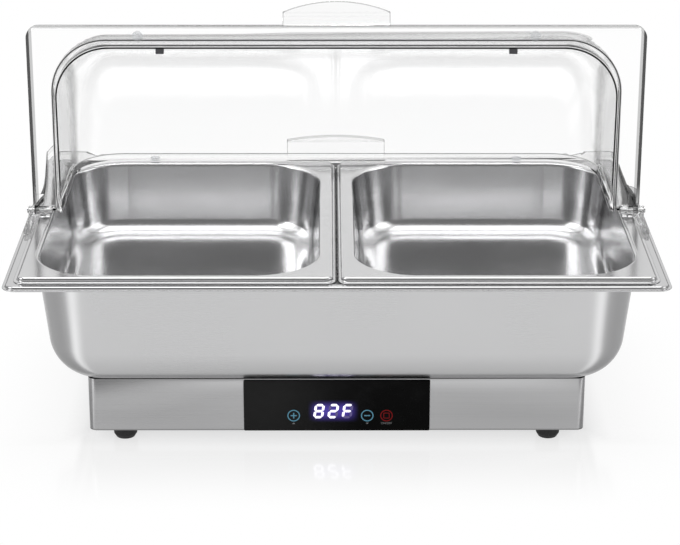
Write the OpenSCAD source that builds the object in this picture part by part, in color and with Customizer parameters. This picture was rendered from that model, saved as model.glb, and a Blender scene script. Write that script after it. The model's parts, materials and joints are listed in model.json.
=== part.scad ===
// Electric chafing dish: two half-size food pans in a heated water pan, under a clear roll-top lid.
// Millimetres, +Z up, front towards -Y. The lid's front half stands open, as it does while food is served.

/* [Food pans] */
// Width of one food pan over its lip
pan_w = 265; // [240:1:290]
// Depth of one food pan over its lip, front to back
pan_d = 325; // [300:1:350]
// Height of a food pan, flange to floor
pan_h = 65; // [40:1:80]
// Sheet thickness of the food pans
pan_t = 0.8; // [0.6:0.1:1.2]
// Width of a food pan's flange at its sides, from its opening to the edge of its lip
pan_flange = 15; // [13.5:0.5:18]
// Width of a food pan's flange at front and back
pan_end_flange = 11.5; // [11:0.5:18]
// Width of the lip turned out at the flange's edge
pan_lip = 3.5; // [3:0.1:5]
// Drop from the flat flange to the lip
pan_drop = 3.9; // [3.4:0.1:6]
// Corner radius of a food pan's opening
pan_corner = 54; // [30:1:58]
// Outer corner radius of a food pan's lip
pan_lip_corner = 10; // [8:0.5:16]
// Bend radius from a food pan's wall to its floor
pan_floor_bend = 15; // [8:1:24]
// How far the walls of the food pans and the water pan lean in over 100 mm of height
wall_lean = 11.5; // [4:0.1:13]
// Gap between the two food pans
pan_gap = 0.5; // [0.3:0.1:3]

/* [Water pan] */
// Height of the water pan, rim to underside
water_h = 102.1; // [92:0.1:130]
// Sheet thickness of the water pan
water_t = 0.9; // [0.7:0.1:1.4]
// Room between the food pans' walls and the water pan's wall
water_clear = 0.5; // [0.4:0.1:3]
// How far the rim reaches past the food pans' lips
rim_margin = 8.75; // [7:0.25:14]
// Width of the lip turned out at the rim's edge
rim_lip = 3; // [2.6:0.1:4]
// Drop from the flat rim to its lip
rim_drop = 2.4; // [2:0.1:6]
// Outer corner radius of the rim
rim_corner = 12; // [10:0.5:22]
// Bend radius from the water pan's wall to its floor
water_floor_bend = 36; // [20:1:38]

/* [Base] */
// Width of the base
base_w = 425; // [400:1:470]
// Depth of the base, front to back
base_d = 224; // [204:1:260]
// Height of the base shell
base_h = 48.1; // [46:0.1:70]
// Sheet thickness of the base shell and its bottom plate
base_t = 1; // [0.8:0.1:1.6]
// Radius of the base's upright corners
base_corner = 7; // [4:0.5:12]
// Width of the flange turned in along the base's lower edge
base_flange = 19; // [17:0.5:22]
// Height of a foot
foot_h = 10; // [8:0.5:20]
// Radius of a foot where it meets the base
foot_r = 10.6; // [9:0.1:13]
// Radius of a foot's flat sole
foot_sole_r = 8; // [6:0.1:8.8]
// Distance of the feet from the base's sides
foot_inset_x = 30; // [28:0.5:60]
// Distance of the feet from the base's front and back
foot_inset_y = 12.5; // [12:0.5:16]

/* [Control panel] */
// Width of the touch panel
panel_w = 159.2; // [140:0.1:200]
// Height of the touch panel
panel_h = 46.8; // [40:0.1:47]
// Thickness of the touch panel
panel_t = 1.6; // [1:0.1:3]
// Height of the three touch keys above the base's lower edge
key_rise = 14.3; // [13:0.1:20]
// Radius of a touch pad
key_r = 5.7; // [4:0.1:7]
// Width of the display module
display_w = 41; // [30:0.5:45]
// Height of the display module
display_h = 18; // [15:0.5:21]
// Sideways place of the display's middle
display_x = -3.5; // [-6:0.1:0]
// Gap between the panel's back and the control board
board_gap = 9; // [7:0.5:14]
// Thickness of the circuit boards
board_t = 1.6; // [1:0.1:2]

/* [Heater] */
// Width of the heating plate
heater_w = 300; // [240:1:330]
// Depth of the heating plate
heater_d = 140; // [110:1:144]
// Thickness of the heating plate
heater_t = 5; // [4:0.5:8]
// Thickness of the gasket between the base and the water pan
gasket_t = 2.3; // [1.2:0.1:3]
// How far the gasket stands back from the base's edges
gasket_inset = 2.5; // [2:0.5:10]
// Room round the heating plate in the base's top
heater_room = 3; // [2:0.5:4]
// Radius of the studs under the water pan
stud_r = 2.5; // [2:0.1:3]

/* [Power inlet] */
// Distance of the power inlet's middle from the base's right side
inlet_inset = 75; // [55:1:150]
// Width of the inlet's socket
socket_w = 24.4; // [24:0.1:25]
// Height of the inlet's socket
socket_h = 16.6; // [16:0.1:17.5]
// Depth of the inlet's socket
socket_depth = 17; // [16:0.5:20]
// Pitch of the inlet's two screws
inlet_pitch = 40; // [38:0.5:44]

/* [Lid] */
// Wall of the clear lid
lid_t = 2; // [1.6:0.1:3]
// How far the lid's flange reaches past the food pans at each side
lid_over_x = 1; // [0.5:0.25:4]
// How far the lid's flange reaches past the food pans at front and back
lid_over_y = 4; // [1:0.25:5]
// How far the dome stands inside the food pans' openings at each side
dome_inset_x = 5.75; // [2:0.25:10]
// How far the dome reaches over the food pans' flanges at front and back
dome_over_y = 2; // [0:0.25:3]
// Rounding of the dome's shoulders
dome_shoulder = 46; // [30:1:60]
// Gap between the front dome and the rear dome inside it, along the radius
dome_gap = 3; // [2:0.25:6]
// Gap between the side walls of the two domes
dome_side_gap = 1; // [0.75:0.25:3]
// Corner radius of the lid's flange
lid_corner = 10.5; // [5:0.5:15]
// Height of the stiffening edge round the flange, from its underside
lid_edge_h = 5; // [4:0.25:8]
// Width of the stiffening edge
lid_edge_w = 2.4; // [1.8:0.1:3]
// Angle that the front dome stops short of upright
front_stop_deg = 1.5; // [1.2:0.1:2.5]
// Angle that the rear dome runs past upright
rear_past_deg = 3; // [2.6:0.1:5]
// Opening angle of the front half of the lid
front_open = 90; // [0:1:90]

/* [Lid handles] */
// Width of a lid handle
handle_w = 92.5; // [70:0.5:120]
// Length of the handle's rising part
handle_rise = 13.8; // [8:0.1:16]
// Angle of the handle's rising part above the flange
handle_rise_deg = 63; // [40:1:70]
// Length of the handle's grip at its middle
handle_grip = 12; // [8:0.1:16]
// Angle of the handle's grip above the flange
handle_grip_deg = 10; // [0:1:20]
// How much shorter the grip is at its ends
handle_bow = 9; // [4:0.25:10]

/* [Lid fittings] */
// Radius of the lid's bumpers
bumper_r = 4.7; // [3.5:0.1:5.5]
// Height of the lid's bumpers
bumper_h = 2; // [1.5:0.1:3]
// Sideways place of the bumpers on the front half
bumper_x = 170.5; // [80:0.5:190]
// Sideways place of the stop pads on the rear dome
stop_x = 151.5; // [80:0.5:190]
// Width of a stop pad
stop_w = 7; // [4:0.5:12]
// Height of the hinge axis above the flange's underside
axis_rise = 2.4; // [2:0.1:3]
// Radius of the hinge pin
pin_r = 1.6; // [1.2:0.1:2]
// Radius of the hinge eyes
eye_r = 3.6; // [3.2:0.1:4]
// Width of the front lid's hinge eye
front_eye_w = 8.5; // [6:0.5:9]
// Width of the rear lid's hinge eye
rear_eye_w = 6.25; // [3:0.25:7]
// Width of the bracket's ear
ear_w = 5; // [4:0.25:6]
// Length of the bracket's foot in front of the hinge
bracket_front = 42; // [25:1:55]
// Length of the bracket's foot behind the hinge
bracket_rear = 20; // [10:1:40]

/* [Hidden] */
$fn = 64;

// Clearances and small shared sizes
seat_gap = 0.3;        // a part that can be lifted off, above its seat
hole_gap = 0.2;        // round a screw in a plain hole
running_gap = 0.08;    // round the hinge pin, in the part that turns
press_gap = 0.02;      // round the hinge pin, in the parts that hold it
side_gap = 0.3;        // between hinge eyes
cut_gap = 0.3;         // round a part that drops into a cut-out
flange_bend = 1.8;     // largest bend from a flange into its dropped edge, along the middle of the sheet
lip_bend = 1.4;        // largest bend from the dropped edge into the lip, along the middle of the sheet
flange_share = 0.55;   // share of a shallow drop that the upper bend takes
lip_share = 0.4;       // share of a shallow drop that the lower bend takes
wall_bend = 3.5;       // bend from a flange into a pan's wall
hinge_room = 1.4;      // between the hinge eyes and the ends of the flanges
overlap = 0.5;         // how far pieces of one solid run into each other
tie = 0.2;             // how far the ties inside a bent strip run into its bends and its straight pieces

// Heights
base_z = foot_h;
base_top = base_z + base_h;
water_z = base_top + gasket_t;
rim_z = water_z + water_h;
pan_top = rim_z + pan_drop + pan_t;
lid_z = pan_top + bumper_h + seat_gap;
axis_z = lid_z + axis_rise;

// Plan of the pans
pans_x = pan_w + pan_gap/2;
pans_y = pan_d/2;
opening_x = pan_w/2 - pan_flange;
opening_y = pan_d/2 - pan_end_flange;
pans_opening_x = pans_x - pan_flange;
rim_x = pans_x + rim_margin;
rim_y = pans_y + rim_margin;
water_x = pans_opening_x + pan_t + water_clear;
water_y = opening_y + pan_t + water_clear;
water_corner = pan_corner + pan_t + water_clear;

// Lid
lid_x = pans_x + lid_over_x;
lid_y = pans_y + lid_over_y;
front_r = opening_y + dome_over_y;
front_x = pans_opening_x - dome_inset_x;
rear_r = front_r - dome_gap - lid_t;
rear_x = front_x - dome_side_gap - lid_t;
flange_start = eye_r + hinge_room;
bow_sides = 200;
pad_len = 10;
pad_proud = 0.8;
stop_t = 4.5;
stop_len = 5;
handle_reach = handle_rise*cos(handle_rise_deg) + handle_grip*cos(handle_grip_deg);

// Hinge, from the inner eye outwards along X
eye_x = front_x + lid_t + eye_r + side_gap;
front_eye_x = eye_x + rear_eye_w + side_gap;
ear_x = front_eye_x + front_eye_w + side_gap;
pin_end_x = ear_x + ear_w;
pin_head_r = pin_r + 1.2;
pin_head_t = 1.2;
pin_tail = 0.5;

// The dish stands so that its whole outline, with the rear handle, is centred over the origin
dish_y = -(lid_y + handle_reach - rim_y)/2;

// Base inside
wall_x = base_w/2 - base_t;
wall_y = base_d/2 - base_t;
plate_z = base_z + base_t;
foot_x = base_w/2 - foot_inset_x;
foot_y = base_d/2 - foot_inset_y;
screw_r = 1.5;
screw_head_r = 2.8;
screw_head_h = 1.4;
screw_len = 4;
side_screw_y = base_d/5;
foot_web = 2.5;
foot_taper = 0.6;
foot_taper_h = foot_h/3;
foot_recess_r = screw_head_r + 1;
vent_x = 90;
vent_y = 28;
vent_pitch = 12;
vent_len = 34;
vent_r = 1.6;

// Heater and what holds it
heater_z = water_z - heater_t;
heater_cut_x = heater_w/2 + heater_room;
heater_cut_y = heater_d/2 + heater_room;
bar_t = 2;
bar_w = 14;
bar_x = heater_w/3;
bar_z = heater_z - bar_t;
stud_gap = 0.4;
gasket_x = base_w/2 - gasket_inset;
gasket_y = base_d/2 - gasket_inset;
stud_y = (heater_cut_y + gasket_y)/2;
bar_half = stud_y + bar_w/2;
nut_h = 4;
nut_r = 2*stud_r;
stud_end = 2;
stud_len = water_z - bar_z + nut_h + stud_end;
heater_corner = 8;
terminal_r = 2.4;
terminal_len = 12;
terminal_inset = 16;
terminal_y = 12;
cutout_r = 8;
cutout_h = 9;
cutout_tab = [30, 6, 1];
probe_r = 2.5;
probe_len = 28;
probe_clip_l = 8;
probe_at = [30, 40];

// Control electronics behind the panel
panel_lower = 0.45;
panel_corner = 1.2;
panel_y = -base_d/2;
panel_z = base_z + base_h/2 - panel_lower;
key_z = base_z + key_rise;
key_xs = [-36.9, 26.1, 42.6];
display_rise = 4.3;
window_w = 124;
window_edge = 4;
window_h = min(panel_h, base_h) - 2*window_edge;
board_y = panel_y + board_gap;
board_w = 138;
board_clear = 1.5;
board_h = min(panel_h - 2, base_h - 2*(screw_len + board_clear));
board_post_r = 2.2;
board_post_x = board_w/2 - board_post_r;
board_post_z = board_h/2 - 2*board_post_r;
board_corner = 2;

// Power electronics on the bottom plate
power_x = -90;
power_y = 20;
power_w = 96;
power_d = 62;
power_post_h = 6;
power_z = plate_z + power_post_h;
power_post_r = 3;
power_post_inset = 5;
relay_size = [19, 15.5, 15.5];
relay_at = [-30, -14];
core_size = [20, 20, 12];
bobbin_size = [30, 26, 5];
bobbin_at = [2, -16];

// Inlet
inlet_x = base_w/2 - inlet_inset;
inlet_y = base_d/2;
inlet_z = base_z + base_h/2;
inlet_flange_t = 3;
inlet_flange_w = inlet_pitch + 10;
inlet_flange_h = socket_h + 8;
inlet_wall = 2;
inlet_corner = 3;
inlet_pin_w = 2;
inlet_pin_h = 4;
inlet_pin_tail = 7;
inlet_pin_recess = 5.2;
inlet_pin_at = [[-7, -2], [0, 2], [7, -2]];

// Points and directions in a section
function unit(v) = v/norm(v);
function left_of(v) = [-v[1], v[0]];
function along(p, i) = unit(p[i + 1] - p[i]);
function cross_z(a, b) = a[0]*b[1] - a[1]*b[0];
function turn(p, i) = atan2(cross_z(along(p, i - 1), along(p, i)), along(p, i - 1)*along(p, i));
function set_back(p, bends, i) = i == 0 || i == len(p) - 1 ? 0 : bends[i]*tan(abs(turn(p, i))/2);

// Section of bent sheet: a strip of thickness t along the points, each inner point bent to its radius
module strip(p, bends, t) {
    last = len(p) - 1;
    for (i = [0 : last - 1]) {
        a = p[i] + along(p, i)*set_back(p, bends, i);
        b = p[i + 1] - along(p, i)*set_back(p, bends, i + 1);
        n = left_of(along(p, i))*t/2;
        polygon([a - n, b - n, b + n, a + n]);
    }
    for (i = [1 : last - 1]) {
        bend(p[i], along(p, i - 1), along(p, i), bends[i], set_back(p, bends, i), sign(turn(p, i)), t);
    }
}

// One bend of a strip, as a slice of a ring, with ties into the straight pieces beside it
module bend(corner, d_in, d_out, r, back, side, t) {
    start = corner - d_in*back;
    end = corner + d_out*back;
    centre = start + left_of(d_in)*side*r;
    far = 2*(r + t);
    intersection() {
        translate(centre) {
            difference() {
                circle(r = r + t/2);
                circle(r = r - t/2);
            }
        }
        polygon([
            centre,
            centre + unit(start - centre)*far,
            centre + unit(corner - centre)*far*2,
            centre + unit(end - centre)*far
        ]);
    }
    for (meet = [[start, d_in], [end, d_out]]) {
        reach = meet[1]*tie;
        n = left_of(meet[1])*t/4;
        polygon([meet[0] - reach - n, meet[0] + reach - n, meet[0] + reach + n, meet[0] - reach + n]);
    }
}

// Rounded rectangle about the origin, given by half sizes
module rounded(half_x, half_y, r) {
    square([2*half_x, 2*(half_y - r)], center = true);
    square([2*(half_x - r), 2*half_y], center = true);
    for (sx = [-1, 1], sy = [-1, 1]) {
        translate([sx*(half_x - r), sy*(half_y - r)]) circle(r = r);
    }
}

// Carries a section round a rectangle with rounded corners: section x counts outwards from the corner centres
module around(half_x, half_y) {
    for (k = [0 : 3]) {
        odd = k % 2 == 1;
        side = odd ? half_y : half_x;
        run = odd ? half_x : half_y;
        rotate(90*k) {
            translate([side, run, 0]) rotate_extrude(angle = 90) children();
            translate([side, 0, 0]) rotate([90, 0, 0]) {
                linear_extrude(height = 2*run, center = true) children();
            }
        }
    }
}

// Flange with a dropped edge and a turned-out lip, round a pan's opening
module dropped_flange(half_x, half_y, corner, opening_hx, opening_hy, opening_r, drop, lip, t, top) {
    mid = top - t/2;
    inner = wall_bend + overlap;
    edge = lip + flange_bend + overlap;
    flat_r = corner - edge;
    translate([0, 0, top - t]) {
        linear_extrude(height = t) {
            difference() {
                rounded(half_x - edge, half_y - edge, flat_r);
                rounded(opening_hx + inner, opening_hy + inner, opening_r + inner);
            }
        }
    }
    around(half_x - corner, half_y - corner) {
        strip(
            [[flat_r, mid], [corner - lip, mid], [corner - lip, mid - drop], [corner - t/2, mid - drop]],
            [0, min(flange_bend, drop*flange_share), min(lip_bend, drop*lip_share), 0], t
        );
        translate([corner - t/2, mid - drop]) circle(r = t/2);
    }
}

// Walls and floor of a pan below its flange
module pan_tub(half_x, half_y, corner, floor_bend, t, top, depth) {
    mid = top - t/2;
    floor_mid = top - depth + t/2;
    lean = wall_lean*depth/100;
    around(half_x - corner, half_y - corner) {
        strip(
            [
                [corner + wall_bend + overlap, mid],
                [corner + t/2, mid],
                [corner + t/2 - lean, floor_mid],
                [0, floor_mid]
            ],
            [0, wall_bend - t/2, floor_bend, 0], t
        );
    }
    translate([-(half_x - corner), -(half_y - corner), floor_mid - t/2]) {
        cube([2*(half_x - corner), 2*(half_y - corner), t]);
    }
}

module at_dish() {
    translate([0, dish_y, 0]) children();
}

module both_sides() {
    children();
    mirror([1, 0, 0]) children();
}

module four_corners(x, y) {
    for (sx = [-1, 1], sy = [-1, 1]) translate([sx*x, sy*y, 0]) children();
}

// Pan-head screw pointing up, its head's upper face at z = 0
module screw_up(length) {
    translate([0, 0, -screw_head_h]) cylinder(r = screw_head_r, h = screw_head_h);
    translate([0, 0, -screw_head_h/2]) cylinder(r = screw_r, h = length + screw_head_h/2);
}

// Base

module bottom_screw_places() {
    edge = base_flange/2;
    four_corners(wall_x - edge, side_screw_y) children();
    for (sy = [-1, 1]) translate([0, sy*(wall_y - edge), 0]) children();
}

module base_shell() {
    color("silver") difference() {
        translate([0, 0, base_z]) linear_extrude(height = base_h) rounded(base_w/2, base_d/2, base_corner);
        translate([0, 0, plate_z + base_t]) {
            linear_extrude(height = base_h - 3*base_t) rounded(wall_x, wall_y, base_corner - base_t);
        }
        // mouth for the bottom plate, with the turned-in flange above it
        translate([0, 0, base_z - overlap]) {
            linear_extrude(height = base_t + overlap) rounded(wall_x, wall_y, base_corner - base_t);
        }
        translate([0, 0, base_z]) {
            linear_extrude(height = 3*base_t) {
                rounded(wall_x - base_flange, wall_y - base_flange, base_corner - base_t);
            }
        }
        translate([0, 0, base_z]) {
            bottom_screw_places() cylinder(r = screw_r + hole_gap, h = 3*base_t);
            four_corners(foot_x, foot_y) cylinder(r = screw_r + hole_gap, h = 3*base_t);
        }
        // top: heater opening and stud holes
        translate([0, 0, base_top - 2*base_t]) {
            linear_extrude(height = 3*base_t) rounded(heater_cut_x, heater_cut_y, base_corner);
        }
        translate([0, 0, base_top - 2*base_t]) {
            four_corners(bar_x, stud_y) cylinder(r = stud_r + stud_gap, h = 3*base_t);
        }
        // front window behind the touch panel
        translate([-window_w/2, panel_y - base_t, panel_z - window_h/2]) cube([window_w, 3*base_t, window_h]);
        // back cut-out for the inlet
        translate([inlet_x, inlet_y, inlet_z]) {
            room = 2*(inlet_wall + cut_gap);
            cube([socket_w + room, 4*base_t, socket_h + room], center = true);
            inlet_screw_places() rotate([90, 0, 0]) {
                cylinder(r = screw_r + hole_gap, h = 4*base_t, center = true);
            }
        }
    }
}

module vent_slots() {
    for (row = [-1, 1], k = [-4 : 4]) {
        translate([vent_x + k*vent_pitch, row*vent_y, base_z]) {
            linear_extrude(height = 4*base_t, center = true) {
                square([2*vent_r, vent_len - 2*vent_r], center = true);
                for (end = [-1, 1]) translate([0, end*(vent_len/2 - vent_r)]) circle(r = vent_r);
            }
        }
    }
}

module bottom_plate() {
    color("darkgray") difference() {
        translate([0, 0, base_z]) {
            linear_extrude(height = base_t) rounded(wall_x - cut_gap, wall_y - cut_gap, base_corner - base_t);
        }
        vent_slots();
        translate([0, 0, base_z - base_t]) {
            bottom_screw_places() cylinder(r = screw_r + hole_gap, h = 3*base_t);
            four_corners(foot_x, foot_y) cylinder(r = screw_r + hole_gap, h = 3*base_t);
        }
    }
}

module bottom_screws() {
    color("gainsboro") bottom_screw_places() translate([0, 0, base_z]) screw_up(screw_len);
}

module foot(sx, sy) {
    color("black") translate([sx*foot_x, sy*foot_y, 0]) difference() {
        rotate_extrude() {
            polygon([
                [0, 0], [foot_sole_r, 0], [foot_r - foot_taper, foot_taper_h], [foot_r, foot_h], [0, foot_h]
            ]);
        }
        translate([0, 0, -overlap]) cylinder(r = foot_recess_r, h = foot_h - foot_web + overlap);
        cylinder(r = screw_r + hole_gap, h = foot_h + overlap);
    }
}

module foot_screws() {
    color("gainsboro") four_corners(foot_x, foot_y) translate([0, 0, foot_h - foot_web]) {
        screw_up(foot_web + screw_len);
    }
}

// Control panel and electronics

module panel_plate(w, h, t, r) {
    rotate([90, 0, 0]) linear_extrude(height = t) rounded(w/2, h/2, r);
}

module control_panel() {
    color("black") translate([0, panel_y, panel_z]) panel_plate(panel_w, panel_h, panel_t, panel_corner);
}

module led_display() {
    color("dimgray") translate([display_x - display_w/2, panel_y, key_z + display_rise - display_h/2]) {
        cube([display_w, board_gap, display_h]);
    }
}

module touch_pads() {
    color("darkslategray") for (x = key_xs) {
        translate([x, panel_y, key_z]) rotate([-90, 0, 0]) cylinder(r = key_r, h = board_gap);
    }
}

module board_places() {
    for (sx = [-1, 1], sz = [-1, 1]) translate([sx*board_post_x, 0, panel_z + sz*board_post_z]) children();
}

module control_board() {
    color("darkgreen") difference() {
        translate([0, board_y + board_t, panel_z]) panel_plate(board_w, board_h, board_t, board_corner);
        board_places() translate([0, board_y, 0]) rotate([90, 0, 0]) {
            cylinder(r = screw_r + hole_gap, h = 4*board_t, center = true);
        }
    }
}

module board_posts() {
    color("goldenrod") board_places() translate([0, board_y, 0]) rotate([90, 0, 0]) difference() {
        cylinder(r = board_post_r, h = board_gap - base_t);
        translate([0, 0, -overlap]) cylinder(r = screw_r + press_gap, h = screw_len + 2*overlap);
    }
}

module board_screws() {
    color("gainsboro") board_places() translate([0, board_y + board_t, 0]) {
        rotate([90, 0, 0]) screw_up(screw_len);
    }
}

module power_places() {
    for (sx = [-1, 1], sy = [-1, 1]) {
        translate([
            power_x + sx*(power_w/2 - power_post_inset), power_y + sy*(power_d/2 - power_post_inset), 0
        ]) children();
    }
}

module power_board() {
    color("darkgreen") translate([power_x, power_y, power_z]) linear_extrude(height = board_t) {
        rounded(power_w/2, power_d/2, power_post_r);
    }
}

module power_board_posts() {
    color("white") power_places() translate([0, 0, plate_z]) cylinder(r = power_post_r, h = power_post_h);
}

module relay() {
    color("royalblue") translate([power_x + relay_at[0], power_y + relay_at[1], power_z + board_t]) {
        cube(relay_size);
    }
}

module transformer() {
    inset = (bobbin_size - core_size)/2;
    color("gold") translate([power_x + bobbin_at[0], power_y + bobbin_at[1], power_z + board_t]) {
        cube(bobbin_size);
        translate([inset[0], inset[1], bobbin_size[2]]) cube(core_size);
    }
}

// Heater

module heating_plate() {
    color("lightgray") translate([0, 0, heater_z]) linear_extrude(height = heater_t) {
        rounded(heater_w/2, heater_d/2, heater_corner);
    }
}

module heater_terminals() {
    color("peru") for (sy = [-1, 1]) {
        translate([terminal_inset - heater_w/2, sy*terminal_y, heater_z - terminal_len]) {
            cylinder(r = terminal_r, h = terminal_len);
        }
    }
}

module clamp_bars() {
    color("gainsboro") for (sx = [-1, 1]) difference() {
        translate([sx*bar_x, 0, bar_z]) {
            linear_extrude(height = bar_t) rounded(bar_w/2, bar_half, bar_w/2 - 1);
        }
        for (sy = [-1, 1]) {
            translate([sx*bar_x, sy*stud_y, bar_z - bar_t]) cylinder(r = stud_r + stud_gap, h = 3*bar_t);
        }
    }
}

module clamp_spacers() {
    spacer_h = base_top - base_t - heater_z;
    color("gainsboro") four_corners(bar_x, stud_y) translate([0, 0, heater_z]) difference() {
        cylinder(r = nut_r, h = spacer_h);
        translate([0, 0, -overlap]) cylinder(r = stud_r + stud_gap, h = spacer_h + 2*overlap);
    }
}

module clamp_nuts() {
    color("gainsboro") four_corners(bar_x, stud_y) translate([0, 0, bar_z - nut_h]) difference() {
        cylinder(r = nut_r, h = nut_h, $fn = 6);
        translate([0, 0, -overlap]) cylinder(r = stud_r + press_gap, h = nut_h + 2*overlap);
    }
}

module pan_studs() {
    color("gainsboro") four_corners(bar_x, stud_y) translate([0, 0, water_z - stud_len]) {
        cylinder(r = stud_r, h = stud_len);
    }
}

module thermal_cutout() {
    color("tan") {
        translate([0, 0, heater_z - cutout_h]) cylinder(r = cutout_r, h = cutout_h);
        translate([0, 0, heater_z - cutout_h/2]) cube(cutout_tab, center = true);
    }
}

module temperature_probe() {
    color("silver") translate([probe_at[0], probe_at[1], heater_z - probe_r]) {
        rotate([0, 90, 0]) cylinder(r = probe_r, h = probe_len);
        translate([probe_len/2, 0, 0]) cube([probe_clip_l, 4*probe_r, 2*probe_r], center = true);
    }
}

// Power inlet

module inlet_screw_places() {
    for (s = [-1, 1]) translate([s*inlet_pitch/2, 0, 0]) children();
}

module power_inlet() {
    body_w = socket_w + 2*inlet_wall;
    body_h = socket_h + 2*inlet_wall;
    color("black") translate([inlet_x, inlet_y, inlet_z]) difference() {
        union() {
            translate([0, inlet_flange_t, 0]) {
                panel_plate(inlet_flange_w, inlet_flange_h, inlet_flange_t, inlet_corner);
            }
            translate([-body_w/2, -socket_depth - inlet_wall + inlet_flange_t, -body_h/2]) {
                cube([body_w, socket_depth + inlet_wall - overlap, body_h]);
            }
        }
        translate([-socket_w/2, inlet_flange_t - socket_depth, -socket_h/2]) {
            cube([socket_w, socket_depth + overlap, socket_h]);
        }
        inlet_pin_places() {
            cube([inlet_pin_w + 2*press_gap, 4*socket_depth, inlet_pin_h + 2*press_gap], center = true);
        }
        inlet_screw_places() rotate([90, 0, 0]) {
            cylinder(r = screw_r + hole_gap, h = 4*inlet_flange_t, center = true);
        }
    }
}

module inlet_pin_places() {
    for (p = inlet_pin_at) translate([p[0], 0, p[1]]) children();
}

module inlet_pins() {
    back = socket_depth + inlet_wall + inlet_pin_tail;
    color("khaki") translate([inlet_x, inlet_y + inlet_flange_t, inlet_z]) inlet_pin_places() {
        translate([-inlet_pin_w/2, -back, -inlet_pin_h/2]) {
            cube([inlet_pin_w, back - inlet_pin_recess, inlet_pin_h]);
        }
    }
}

module inlet_screws() {
    color("gainsboro") translate([inlet_x, inlet_y + inlet_flange_t, inlet_z]) {
        inlet_screw_places() rotate([90, 0, 0]) screw_up(inlet_flange_t + screw_len);
    }
}

// Pans

module pan_gasket() {
    color("black") translate([0, 0, base_top]) linear_extrude(height = gasket_t) difference() {
        rounded(gasket_x, gasket_y, base_corner);
        rounded(heater_cut_x, heater_cut_y, base_corner);
        for (sx = [-1, 1], sy = [-1, 1]) translate([sx*bar_x, sy*stud_y]) circle(r = stud_r + stud_gap);
    }
}

module water_pan() {
    color("lightgray") {
        dropped_flange(
            rim_x, rim_y, rim_corner, water_x, water_y, water_corner, rim_drop, rim_lip, water_t, rim_z
        );
        pan_tub(water_x, water_y, water_corner, water_floor_bend, water_t, rim_z, water_h);
    }
}

module food_pan(sx) {
    color("gainsboro") translate([sx*(pan_w + pan_gap)/2, 0, 0]) {
        dropped_flange(
            pan_w/2, pan_d/2, pan_lip_corner,
            opening_x, opening_y, pan_corner, pan_drop, pan_lip, pan_t, pan_top
        );
        pan_tub(opening_x, opening_y, pan_corner, pan_floor_bend, pan_t, pan_top, pan_h);
    }
}

// Lid: each half is drawn closed, as the rear half, about the hinge axis

module at_axis() {
    translate([0, 0, axis_z]) children();
}

// Outline of a dome across the hinge axis: x along the radius, y along the axis
module arch(half_w, r, shoulder) {
    translate([0, -(half_w - shoulder)]) square([r, 2*(half_w - shoulder)]);
    translate([0, -half_w]) square([r - shoulder, 2*half_w]);
    for (s = [-1, 1]) translate([r - shoulder, s*(half_w - shoulder)]) circle(r = shoulder);
}

module arch_wall(half_w, r) {
    difference() {
        arch(half_w + lid_t, r + lid_t, dome_shoulder + lid_t);
        arch(half_w, r, dome_shoulder);
    }
}

module dome(half_w, r, sweep_deg) {
    rotate([90, 0, 90]) rotate_extrude(angle = sweep_deg) arch_wall(half_w, r);
    translate([0, 0, -axis_rise]) linear_extrude(height = axis_rise) mirror([1, -1]) arch_wall(half_w, r);
}

// Outline of a lid half's flange, open towards the hinge
module flange_outline(inset) {
    half = (lid_y + lid_corner)/2;
    intersection() {
        translate([0, lid_y - half - inset]) {
            rounded(lid_x - inset, half, lid_corner - min(inset, lid_corner - 1));
        }
        translate([-lid_x, flange_start]) square([2*lid_x, lid_y]);
    }
}

module lid_flange(half_w, r) {
    translate([0, 0, -axis_rise]) {
        linear_extrude(height = lid_t) difference() {
            flange_outline(0);
            mirror([1, -1]) arch(half_w + lid_t/2, r + lid_t/2, dome_shoulder + lid_t/2);
        }
        linear_extrude(height = lid_edge_h) difference() {
            flange_outline(0);
            flange_outline(lid_edge_w);
        }
    }
}

// Handle: a riser at the flange's edge and a grip whose outer edge is an arc
module lid_handle() {
    rise = [handle_rise*cos(handle_rise_deg), handle_rise*sin(handle_rise_deg)];
    grip = [handle_grip*cos(handle_grip_deg), handle_grip*sin(handle_grip_deg)];
    start = [lid_y - lid_edge_w, -axis_rise + lid_t/2];
    knee = [lid_y, -axis_rise + lid_t/2] + rise;
    tip = knee + grip;
    bow_r = (pow(handle_w/2, 2) + pow(handle_bow, 2))/(2*handle_bow);
    intersection() {
        rotate([90, 0, 90]) linear_extrude(height = handle_w, center = true) {
            strip([start, [lid_y, start[1]], knee, tip], [0, lid_t, lid_t, 0], lid_t);
        }
        translate([0, tip[0] - bow_r, -handle_rise]) cylinder(r = bow_r, h = 4*handle_rise, $fn = bow_sides);
    }
}

// Eye on the hinge pin, with its web to the flange
module lid_eye(x, w) {
    both_sides() {
        translate([x, 0, 0]) rotate([90, 0, 90]) cylinder(r = eye_r, h = w);
        translate([x, 0, -axis_rise]) cube([w, flange_start + pad_len, lid_t + pad_proud]);
    }
}

module lid_bores(x, w, gap) {
    both_sides() translate([x - overlap, 0, 0]) rotate([90, 0, 90]) {
        cylinder(r = pin_r + gap, h = w + 2*overlap);
    }
}

module lid_half(half_w, r, sweep_deg, x, w, gap) {
    difference() {
        union() {
            dome(half_w, r, sweep_deg);
            lid_flange(half_w, r);
            lid_handle();
            lid_eye(x, w);
        }
        lid_bores(x, w, gap);
    }
}

// Domed clear bumper under a flange
module bumper() {
    cap_r = (bumper_r*bumper_r + bumper_h*bumper_h)/(2*bumper_h);
    intersection() {
        translate([0, 0, -bumper_h]) cylinder(r = bumper_r, h = bumper_h);
        translate([0, 0, cap_r - bumper_h]) sphere(r = cap_r);
    }
}

module lid_half_bumpers() {
    for (s = [-1, 1]) translate([s*bumper_x, front_r + bumper_r, -axis_rise]) bumper();
}

module front_turn() {
    at_axis() rotate([-front_open, 0, 0]) mirror([0, 1, 0]) children();
}

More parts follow.
